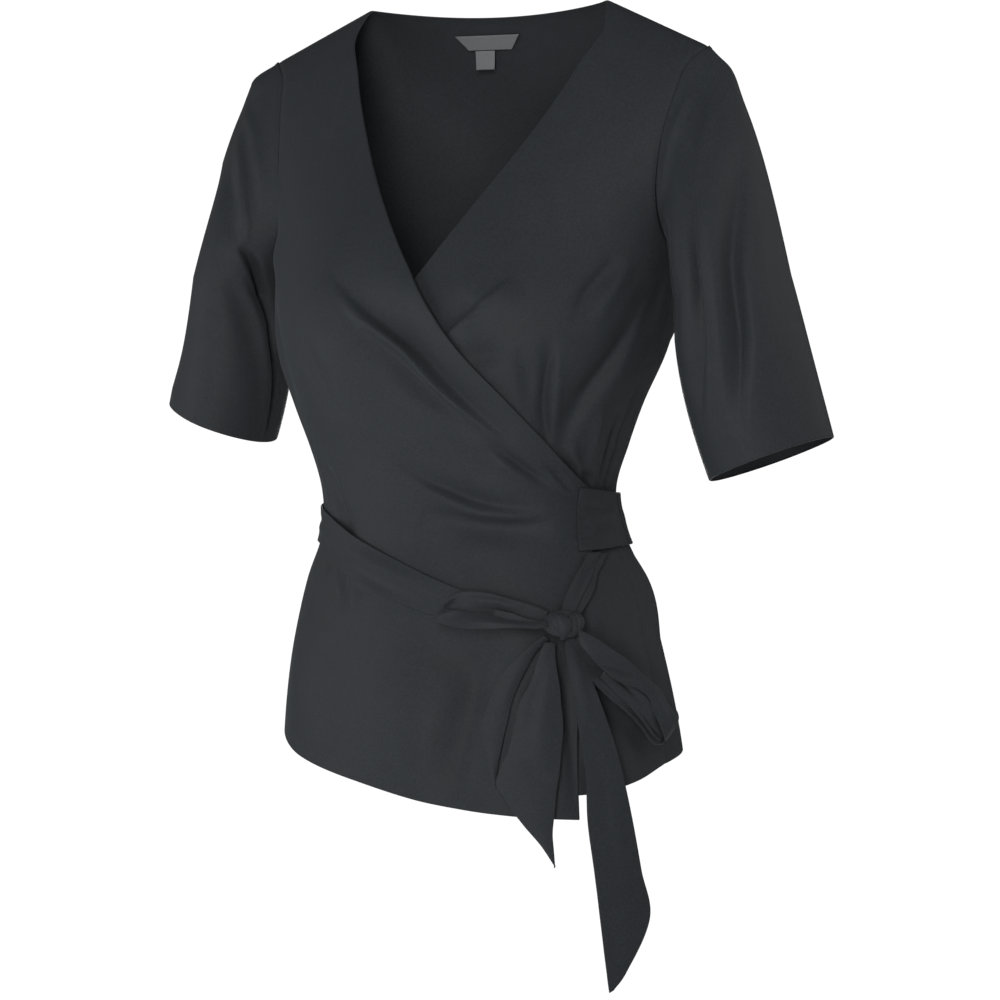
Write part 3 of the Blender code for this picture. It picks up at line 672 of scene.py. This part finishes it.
def sleeve(name):
    # the cap is a cubic from the armhole to the first ring, which leaves at the cap's slope and arrives
    # down the arm, and rings follow; its creases are measured round an arm of one radius
    size, shape = sleeves[name], sleeveShape
    start = armholeRing(size["side"]) + np.array([shape["seam"], 0, 0])
    turn = np.linspace(0, 2 * np.pi, len(start), endpoint=False)[:, None]
    first = sleeveRing(size, turn, 1.0)
    reach = np.linalg.norm(first - start, axis=1, keepdims=True)
    under = slopeDown(shape["underarmSlope"])
    leave = under + (slopeDown(size["cap"]) - under) * (1 + np.cos(turn)) / 2
    leave = leave / np.linalg.norm(leave, axis=1, keepdims=True) * reach * size["keep"][0]
    arrive = slopeDown(90 - size["lean"]) * reach * size["keep"][1]
    u = np.linspace(0, 1, shape["capRows"])[:, None, None]
    cap = (start * (1 + 2 * u) * (1 - u) ** 2 + first * (3 - 2 * u) * u**2
           + leave * u * (1 - u) ** 2 - arrive * (1 - u) * u**2)
    lefts = 1 - finerEnds(shape["armRows"], size["length"], first=False)[1:]
    points = np.concatenate([cap, np.array([sleeveRing(size, turn, left) for left in lefts])])
    turn = turn[:, 0]
    roundArm = np.where(turn > np.pi, turn - 2 * np.pi, turn) * shape["arm"]
    here = np.stack([roundArm + 0 * points[..., 2], -points[..., 2]], -1)
    height = creaseHeight(size["creases"], here, np.array([math.radians(1) * shape["arm"], 0.001]))
    rowShare = np.linspace(0, 1, len(points))[:, None]
    height *= ramp(rowShare, 0, shape["fadeIn"])
    height *= 1 - (1 - shape["leftAtHem"]) * ramp(rowShare, shape["fadeOut"], 1)
    waves = np.sin(3 * turn + 9 * rowShare) + np.sin(5 * turn - 7 * rowShare)
    height += shape["wave"] * waves * ramp(rowShare, shape["waveStart"], shape["waveFull"])
    height -= shape["groove"] * bell(rowShare / shape["grooveShare"])
    fromHem = np.concatenate([np.ones(shape["capRows"]), lefts])[:, None] * size["length"]
    height += edgeRoll(fromHem)
    points = points + outwardNormals(points) * height[..., None]
    points = points[:, ::-1] if size["side"] > 0 else points * np.array([-1.0, 1, 1])
    piece = clothMesh(name, [points], crepe, shellWall["panel"], tube=True)
    stand(piece, size["node"], "crepe", size["flat"], "draped", area=size["area"])


for sleeveName in sleeves:
    sleeve(sleeveName)
print("sleeves made")


# Ties: each leaf of a ribbon lies between two edges, every row the degrees round, millimetres down and
# millimetres out of one edge and then of the other. It has creases of its own, measured on the form as
# the panels' are, and a crown, which is how far its middle stands out in metres

ties = {
    "waistTab": {"node": "waist_tab", "flat": (0.050, 0.06), "held": "draped", "leaves": (
        {"steps": 90, "columns": 90, "rows": (
            (64, 397, 6.4, 70, 349, 6), (74, 396.5, 6.6, 79, 350.5, 6.4),
            (86, 395, 5.4, 89, 353, 5.4), (99.5, 394, 3.8, 99.5, 355, 3.8)),
         "creases": (
            (((66, 364), (74, 365), (82, 367), (96, 369)), 3.0, 1.8, -1.4),
            (((68, 358), (76, 358), (90, 361)), 5, 4, 1.3),
            (((69, 374), (80, 375), (95, 377)), 4, 6, 0.9),
            (((66, 390), (73, 388), (80, 384), (90, 382)), 3.5, 4, -1.1),
            (((65, 371), (69, 371), (73, 371.5)), 1.0, 1.0, -0.8),
            (((65, 375), (69, 375), (72, 374.5)), 0.9, 1.0, -0.8),
            (((65, 379), (69, 379), (74, 380)), 1.0, 1.0, -0.8),
            (((65, 383), (68, 383), (71, 383)), 1.0, 1.0, -0.8),
            (((64, 387), (68, 387), (73, 388)), 1.0, 1.0, -0.8),
            (((64, 392), (67, 392), (70, 392)), 0.9, 0.9, -0.7))},)},
    "beltBack": {"node": "belt_back", "flat": (0.038, 0.30), "held": "draped", "leaves": (
        {"steps": 260, "columns": 24, "rows": (
            (100.2, 394, 3.8, 100.2, 355, 3.8), (180.0, 395, 3.8, 180.0, 358, 3.8),
            (269.5, 391, 3.8, 269.5, 362, 3.8)),
         "creases": (
            (((104, 372), (130, 376), (158, 372)), 4, 5, 0.9),
            (((150, 382), (180, 384), (210, 381)), 4, 4, -0.8),
            (((196, 370), (226, 372), (258, 371)), 4, 5, 0.9), (((118, 386), (140, 388)), 3, 3, -0.7),
            (((232, 380), (262, 381)), 3, 3, -0.7))},)},
    "beltFront": {"node": "belt_front", "flat": (0.030, 0.28), "held": "draped", "leaves": (
        {"steps": 260, "columns": 50, "rows": (
            (-90, 391, 3.8, -90, 362, 3.8), (-70, 393, 6.4, -69, 365, 6.4),
            (-50, 397, 7, -48, 371, 7), (-26, 416, 7, -26, 388, 7),
            (-8, 430, 7, -8, 402, 7), (8, 441, 7, 10, 417, 7),
            (27, 449, 7, 28, 430, 7), (43, 450, 7, 44, 440, 7)),
         "creases": (
            (((-34, 394), (-20, 404), (-8, 413), (0, 418.5), (8, 425.5), (16, 434)), 7, 0.9, 1.9),
            (((-70, 380), (-52, 386), (-38, 394)), 5, 3, 1.0),
            (((-26, 410), (-10, 422), (2, 431)), 3, 4, -0.9),
            (((-84, 372), (-66, 376), (-50, 380)), 3, 3, -0.8))},)},
    "shortTie": {"node": "tie_short", "flat": (0.024, 0.048), "held": "folded", "leaves": (
        {"steps": 60, "columns": 30, "rows": (
            (71, 398.5, 6, 78, 399, 5.8), (67, 408, 6.4, 73, 407, 6),
            (62, 416, 7, 69.5, 413, 6.4), (58, 424, 7.6, 65.5, 424, 7),
            (55.5, 432, 8.4, 61, 434, 8), (52.5, 441, 10, 57, 443, 9)),
         "creases": (
            (((75, 402), (69, 414), (62, 430)), 1.2, 2.4, -1.3),
            (((71, 401), (65, 414), (58, 432)), 2, 1.4, 1.0))},
        {"steps": 60, "columns": 30, "rows": (
            (67, 398.5, 7.2, 74, 398.5, 7.6), (62.5, 407, 7.8, 69, 406, 8.4),
            (59, 413, 8.2, 65, 415, 9), (55.5, 421, 9, 61, 424, 9.8),
            (52.5, 430, 10, 57.5, 433, 10.8), (50.5, 440, 11.2, 54.5, 443, 12)),
         "creases": (
            (((70, 401), (62, 414), (55, 434)), 1.2, 2.2, -1.5),
            (((73, 402), (66, 414), (58, 434)), 1.8, 1.2, 1.2))})},
    "rightLoop": {"node": "bow_loop_right", "flat": (0.020, 0.16), "held": "folded", "leaves": (
        {"steps": 190, "columns": 44, "rows": (
            (46, 448, 7, 46, 439, 11.5), (40, 449, 6.8, 40, 434, 12),
            (34, 449, 6.8, 34, 430.2, 12.5), (27, 447.5, 7.2, 27, 426.2, 13),
            (20.5, 445.5, 8.5, 20, 425.6, 13.5), (15, 443, 11, 16, 429, 13.5),
            (10.5, 445, 15.5, 14, 436, 15), (13.5, 448.5, 19.5, 16, 438.5, 17.5),
            (20.5, 451.8, 21.5, 21, 439.5, 17.5), (27.5, 452.2, 21.2, 26.5, 441.2, 17.2),
            (34.5, 451.2, 20, 32.5, 445, 17.5), (42, 451.5, 17.5, 40, 446.8, 16),
            (46.5, 449.5, 15, 46, 445.5, 14.5)),
         "creases": (
            (((12, 444), (16, 441), (20, 436)), 1.5, 2.5, 1.5),
            (((22, 446), (31, 448), (40, 449)), 2.5, 2.5, 1.4),
            (((14, 440), (15, 434), (18, 430)), 1.2, 1.8, -2.0),
            (((20, 431), (28, 432), (38, 437)), 2.5, 2.0, 1.6),
            (((21, 437), (27, 437), (36, 441)), 2.0, 2.5, -2.2)), "crown": 0.0006},
        {"steps": 60, "columns": 24, "rows": (
            (28.5, 446, 12.5, 29.5, 437.6, 14), (34, 448, 13, 34.5, 440.2, 15),
            (38.5, 448.5, 13, 38.5, 443.4, 15), (43, 448, 13, 42.5, 445.4, 14),
            (46, 447.5, 13, 46, 446, 13)),
         "creases": (), "crown": 0.0006})},
    "leftLoop": {"node": "bow_loop_left", "flat": (0.024, 0.22), "held": "folded", "leaves": (
        {"steps": 200, "columns": 56, "rows": (
            (56, 456, 8, 54, 460, 9), (60, 468, 6.5, 57, 478, 9),
            (66, 479, 6, 60.5, 490, 9.5), (72, 490, 6, 65, 500.5, 10),
            (77, 500, 6.5, 70, 510, 10.5), (82, 511, 8.5, 74.5, 521, 11),
            (87, 519.5, 12.5, 78, 533, 12.5), (89, 521, 16.5, 81.5, 533.5, 16),
            (88, 514, 20.5, 79.5, 529, 20.5), (85, 506, 21.5, 77.2, 515, 21.5),
            (81.5, 498.5, 21.5, 76.5, 503.5, 20.5), (77, 489.5, 21, 72.5, 495.5, 19.5),
            (72, 480, 20.8, 66, 489, 19.5), (68, 472, 20.5, 62, 482.5, 19.5),
            (64, 465, 19.8, 59, 475.5, 19.5), (60, 458, 18.5, 57, 469, 18.5),
            (55, 451.5, 16, 55, 462, 16)),
         "creases": (
            (((59, 475), (64.5, 481), (69.5, 485.5), (73, 490)), 1.4, 2.6, -2.4),
            (((62, 466), (69, 476), (76, 487)), 4, 3.5, 1.6),
            (((78, 494), (80.5, 506), (82, 518), (82, 528)), 3, 2.0, 3.4),
            (((81, 497), (85, 508), (88, 519)), 2.5, 3.5, -2.4),
            (((75, 497), (77, 508), (79, 520)), 2.5, 2, -2.6),
            (((80, 493), (84, 500), (87, 510)), 2, 2, 1.4),
            (((60, 483), (64, 491), (69, 501), (73, 509)), 1.2, 2.5, 2.4),
            (((63, 485), (67, 492), (72, 501), (76, 510)), 2.5, 2.0, -2.5)), "crown": 0.0006},
        {"steps": 70, "columns": 30, "rows": (
            (63, 479, 15, 61.5, 484, 12.5), (68, 487, 15.5, 66, 496, 13),
            (73, 495, 16, 70.5, 506, 13.5), (77.5, 503, 16, 74.5, 517, 14),
            (81, 512, 16, 77.5, 527, 14.5), (84, 522, 16, 80, 532, 15)),
         "creases": (
            (((65, 484), (70, 494), (74, 505)), 1.5, 1.8, -2.2),
            (((71, 492), (76, 505), (79, 520)), 1.6, 1.8, 2.2),
            (((73, 508), (77, 520), (80, 530)), 1.5, 1.5, -2.0)), "crown": 0.0006})},
    "rightTail": {"node": "tail_right", "flat": (0.036, 0.175), "held": "folded", "leaves": (
        {"steps": 130, "columns": 30, "rows": (
            (44.5, 455, 10.5, 46.5, 458, 8.5), (39.5, 463, 11, 42.3, 465, 8.5),
            (35, 472, 11.2, 39.2, 475.5, 8.5), (30.5, 483, 11.2, 36.5, 486, 8.5),
            (27.5, 498, 11.2, 33.8, 500, 8.8), (25, 514, 11.2, 32.3, 513, 9),
            (24.5, 522, 11, 30.8, 525, 9.2), (25.5, 534, 10.8, 29.6, 537, 9.4),
            (26.5, 548, 10.4, 28.6, 549, 9.4), (27.6, 559, 10, 28.4, 560, 9.4)),
         "creases": ((((40, 468), (34, 488), (30, 510)), 4, 4, 1.2),), "crown": 0.0008},
        {"steps": 150, "columns": 56, "rows": (
            (44.5, 460, 11.8, 48, 460, 11), (42.2, 470, 12.2, 47.5, 472, 11.8),
            (39.3, 487, 12.4, 48, 490, 12), (35.8, 501, 12.6, 48, 503, 12.2),
            (34.0, 517, 12.8, 48, 518, 12.2), (32.0, 533, 12.8, 47, 534, 12),
            (29.3, 548, 12.2, 45.8, 552, 11.8), (28.3, 559, 11.6, 45, 562, 11.2),
            (31.5, 573, 10.8, 44.2, 577, 10.8), (35.5, 587, 10.4, 43.4, 592, 10.6),
            (40, 601, 10.2, 43.6, 605, 10.4), (43.5, 615, 10.2, 43.8, 616.5, 10.4)),
         "creases": (
            (((46, 470), (43, 500), (41, 530), (39, 565)), 7, 8, 1.6),
            (((36, 540), (40, 552), (44, 558)), 5, 6, -1.2),
            (((45, 474), (40, 500), (37, 530)), 3, 3, -0.8)), "crown": 0.0008})},
    "knotWrap": {"node": "knot", "flat": (0.030, 0.040), "held": "folded", "leaves": (
        {"steps": 60, "columns": 40, "rows": (
            (44.2, 450, 10, 44.2, 444, 10), (46.6, 455, 14, 46.6, 440.5, 14),
            (50.5, 457.5, 15.5, 50.5, 438.5, 15), (54.8, 456, 14, 55, 439.5, 13.5),
            (57.6, 450, 9.5, 57.6, 444, 9.5)), "creases": (), "crown": 0.0022},
        {"steps": 60, "columns": 30, "rows": (
            (52.6, 439.2, 12.5, 54.8, 438.5, 11.5), (52.2, 443, 16.5, 57.0, 442, 14.5),
            (52.4, 447.5, 18, 57.8, 447.5, 15), (52.8, 452.5, 16.5, 56.6, 453, 14),
            (53.0, 457, 11.5, 54.4, 457.2, 11)),
         "creases": ((((54, 440), (55, 447), (54.5, 455)), 0.8, 1.0, -1.0),), "crown": 0.0018},
        {"steps": 60, "columns": 30, "rows": (
            (47.4, 439.8, 14, 49.2, 439.2, 13.5), (46.2, 444, 18, 51.4, 443, 19),
            (46.8, 449, 20, 52.6, 448.5, 20.5), (48.4, 454, 18.5, 52.0, 454, 18.5),
            (49.6, 459, 13, 50.6, 459.2, 13)),
         "creases": ((((48, 442), (48.5, 449), (50, 456)), 0.9, 1.3, -0.9),), "crown": 0.0024})},
    "leftTail": {"node": "tail_left", "flat": (0.034, 0.26), "held": "draped", "leaves": (
        {"steps": 220, "columns": 50, "rows": (
            (51.5, 457, 10.5, 54.5, 456, 10), (51, 466, 10.5, 56.5, 466, 10),
            (51.5, 480, 10.5, 58.3, 481, 10.2), (52.5, 498, 10.4, 60.5, 498, 10.2),
            (52.6, 514, 10.2, 62.5, 515, 10.2), (53.3, 533, 10, 64.5, 534, 10.2),
            (53.8, 554, 10, 66.3, 556, 10), (53.6, 585, 10, 68.6, 588, 10),
            (55, 620, 10, 70.8, 622, 10), (56.8, 660, 10, 73.5, 655, 10),
            (58.6, 696, 10, 65, 691.5, 10), (59.2, 706, 10, 60.5, 704.5, 10)),
         "creases": (
            (((54, 462), (55, 490), (57, 520)), 3, 4, 1.4), (((56, 520), (59, 560), (60, 600)), 5, 6, -1.0),
            (((62, 560), (64, 610), (66, 640)), 5, 5, 1.1),
            (((58, 640), (61, 668), (60, 690)), 5, 6, -1.0))},)},
}


def leafPoints(leaf, width):
    # both edges are smooth curves through the rows, joined across by straight lines on the form, and a
    # parabola crowns them
    rows = np.array(leaf["rows"]) * np.tile((1, 0.001, 0.001), 2)
    keyed = np.column_stack([np.linspace(0, 1, len(rows)), rows])
    edges = readRows(keyed, np.linspace(0, 1, leaf["steps"]))
    across = finerEnds(leaf["columns"], width)
    spots = edges[:, None, :3] + (edges[:, None, 3:] - edges[:, None, :3]) * across[None, :, None]
    angle, depth, out = np.moveaxis(spots, -1, 0)
    out = out + edgeRoll(np.minimum(across, 1 - across) * width, rolledEdge["tie"])
    out = out + 4 * leaf.get("crown", 0) * across * (1 - across)
    out = out + creaseHeight(leaf["creases"], onForm(angle, depth), formUnits)
    return place(angle, depth, out)


def ribbon(name):  # a stretch of a tie: all its leaves in one mesh
    size = ties[name]
    grids = [leafPoints(leaf, size["flat"][0]) for leaf in size["leaves"]]
    piece = clothMesh(name, grids, crepe, shellWall["tie"])
    stand(piece, size["node"], "crepe", size["flat"], size["held"])


for tieName in ties:
    ribbon(tieName)
print("ties and bow made")


# Labels inside the back neck: sizes at the top and at the bottom edge

labels = {
    "neckLabel": {
        "node": "neck_label", "flat": (0.053, 0.0105), "area": 0.00045,
        "depth": (0.018, 0.028), "across": (-0.016, -0.018), "wide": (0.0265, 0.0180),
        "hang": (0.0012, 0.0012)},
    "sizeTag": {
        "node": "size_tag", "flat": (0.016, 0.0125), "area": 0.00019,
        "depth": (0.0285, 0.0395), "across": (-0.0225, -0.0245), "wide": (0.0080, 0.0075),
        "hang": (0.0012, 0.0060)},
}
labelShape = {"rows": 24, "columns": 60, "inside": 0.0017}


def labelPiece(name):  # a strip inside the back, its sides straight lines between the top and bottom sizes
    size = labels[name]
    share = np.linspace(0, 1, labelShape["rows"])[:, None]
    depth, across, half, hang = (
        size[key][0] + (size[key][1] - size[key][0]) * share for key in ("depth", "across", "wide", "hang"))
    x = across + half * np.linspace(1, -1, labelShape["columns"])
    points = place(180 - angleAt(x, depth), depth, panel["out"] - labelShape["inside"] - hang)
    piece = clothMesh(name, [points[:, ::-1]], tape, shellWall["label"])
    stand(piece, size["node"], "woven_label", size["flat"], "laid", area=size["area"])


for labelName in labels:
    labelPiece(labelName)
print("labels made")


# Camera, floor and light

studio = {
    "azimuth": 28, "distance": 3.1, "height": -0.263, "lens": 151.8, "sensor": 36,
    "right": 0.002846, "down": 0.03202,  # where the camera looks, for each metre ahead
    "floor": -1.30, "floorRadius": 3.0, "floorSides": 96, "paper": 0.9, "floorGlow": 0.03,
    "world": 0.01, "worldSeen": 1.05, "aim": (0, 0, -0.33),
}
areaLights = {  # azimuth, elevation, distance, width, height, power
    "frontStrip": (18, 5, 2.6, 0.7, 2.0, 39),
    "leftFill": (-50, 0, 1.3, 0.9, 0.9, 6.6),
    "rightFill": (75, 40, 1.3, 0.9, 0.9, 3.0),
    "rightSide": (110, 20, 1.3, 0.9, 0.9, 2.7),
    "rightRim": (150, 15, 2.6, 1.6, 1.6, 4.0),
    "leftRim": (-95, 15, 2.6, 1.6, 1.6, 3.0),
    "rearStrip": (208, 12, 2.6, 0.9, 2.0, 44),
}
neckSpot = {
    "aim": (-0.06, 0.075, -0.06), "rise": 0.25, "distance": 2.4, "cone": 4.6, "soft": 0.05, "power": 52,
}


def makeCamera():  # on a circle round the top, turned to the view's azimuth
    turn = math.radians(studio["azimuth"])
    ahead = Vector((-math.sin(turn), math.cos(turn), 0))
    right = Vector((math.cos(turn), math.sin(turn), 0))
    camera = bpy.data.objects.new("camera", bpy.data.cameras.new("camera"))
    camera.data.sensor_width = studio["sensor"]
    camera.data.lens = studio["lens"]
    camera.location = -ahead * studio["distance"] + Vector((0, 0, studio["height"]))
    look = ahead + right * studio["right"] - Vector((0, 0, studio["down"]))
    camera.rotation_euler = look.to_track_quat("-Z", "Y").to_euler()
    bpy.context.scene.collection.objects.link(camera)
    bpy.context.scene.camera = camera


def addLight(name, kind, aim, away, distance, power):  # so far away from what it faces, that way
    light = bpy.data.objects.new(name, bpy.data.lights.new(name, kind))
    light.data.energy = power
    light.location = Vector(aim) + away * distance
    light.rotation_euler = (-away).to_track_quat("-Z", "Y").to_euler()
    bpy.context.scene.collection.objects.link(light)
    return light.data


def addAreaLight(name):  # a flat light that faces the middle of the top, its place in sphere angles
    azimuth, elevation, distance, wide, tall, power = areaLights[name]
    turn, rise = math.radians(azimuth), math.radians(elevation)
    away = Vector((math.sin(turn) * math.cos(rise), -math.cos(turn) * math.cos(rise), math.sin(rise)))
    light = addLight(name, "AREA", studio["aim"], away, distance, power)
    light.shape = "RECTANGLE"
    light.size, light.size_y = wide, tall


def addNeckSpot():  # a narrow soft cone through the neck opening, from the camera's side
    turn = math.radians(studio["azimuth"])
    away = Vector((math.sin(turn), -math.cos(turn), neckSpot["rise"])).normalized()
    light = addLight("neckSpot", "SPOT", neckSpot["aim"], away, neckSpot["distance"], neckSpot["power"])
    light.spot_size = math.radians(neckSpot["cone"])
    light.spot_blend = 1
    light.shadow_soft_size = neckSpot["soft"]


def makeFloor():  # a round sheet of pale paper, white where it is seen and faintly glowing upwards
    mesh = bpy.data.meshes.new("floor")
    turn = np.linspace(0, 2 * np.pi, studio["floorSides"], endpoint=False)
    rim = np.stack([np.cos(turn), np.sin(turn), 0 * turn], -1) * studio["floorRadius"]
    mesh.from_pydata((rim + [0, 0, studio["floor"]]).tolist(), [], [list(range(len(turn)))])
    paper = bpy.data.materials.new("palePaper")
    paper.use_nodes = True
    tree = paper.node_tree
    shader = tree.nodes["Principled BSDF"]
    shader.inputs["Base Color"].default_value = (*[studio["paper"]] * 3, 1)
    shader.inputs["Roughness"].default_value = studio["paper"]
    shader.inputs["Emission Strength"].default_value = 1
    seen = addNode(tree, "LightPath")
    glow = addNode(tree, "Mix", data_type="RGBA")
    glow.inputs["A"].default_value = (*[studio["floorGlow"]] * 3, 1)
    glow.inputs["B"].default_value = (1, 1, 1, 1)
    tree.links.new(seen.outputs["Is Camera Ray"], glow.inputs["Factor"])
    tree.links.new(glow.outputs["Result"], shader.inputs["Emission Color"])
    mesh.materials.append(paper)
    floor = bpy.data.objects.new("floor", mesh)
    bpy.context.scene.collection.objects.link(floor)


def makeWorld():  # white where it is seen, and nearly dark as a light
    world = bpy.data.worlds.new("studio")
    bpy.context.scene.world = world
    world.use_nodes = True
    tree = world.node_tree
    path = addNode(tree, "LightPath")
    strength = addNode(tree, "MapRange", {"To Min": studio["world"], "To Max": studio["worldSeen"]})
    tree.links.new(path.outputs["Is Camera Ray"], strength.inputs["Value"])
    tree.nodes["Background"].inputs["Color"].default_value = (1, 1, 1, 1)
    tree.links.new(strength.outputs["Result"], tree.nodes["Background"].inputs["Strength"])
    bpy.context.scene.view_settings.view_transform = "Standard"


makeCamera()
makeFloor()
makeWorld()
for lightName in areaLights:
    addAreaLight(lightName)
addNeckSpot()
print("camera, floor and light made")
